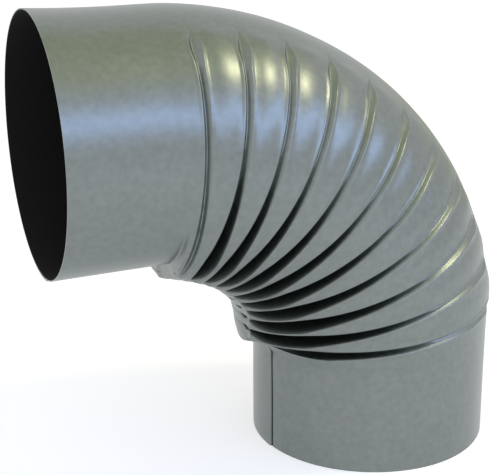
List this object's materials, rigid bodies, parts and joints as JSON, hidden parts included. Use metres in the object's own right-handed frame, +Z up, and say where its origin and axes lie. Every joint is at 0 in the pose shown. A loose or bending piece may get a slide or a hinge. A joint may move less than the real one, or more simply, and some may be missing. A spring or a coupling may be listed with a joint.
{
  "type": "flue bend",
  "caption": "Right-angle pipe bend folded from one aluminium sheet: plain collars, pleats that deepen towards the throat and a flattened seam, to turn a flue or vent pipe.",
  "frame": {"origin": "centre of the lower rim, on which the bend stands", "axes": "+Z up the lower collar, -X out of the upper collar's mouth, +Y to the far side of the picture"},
  "size_m": [0.288, 0.1598, 0.2853],
  "materials": {
    "sheet": "dull mill finish"
  },
  "bodies": {
    "root": {"flue_bend": "sheet"}
  },
  "joints": []
}
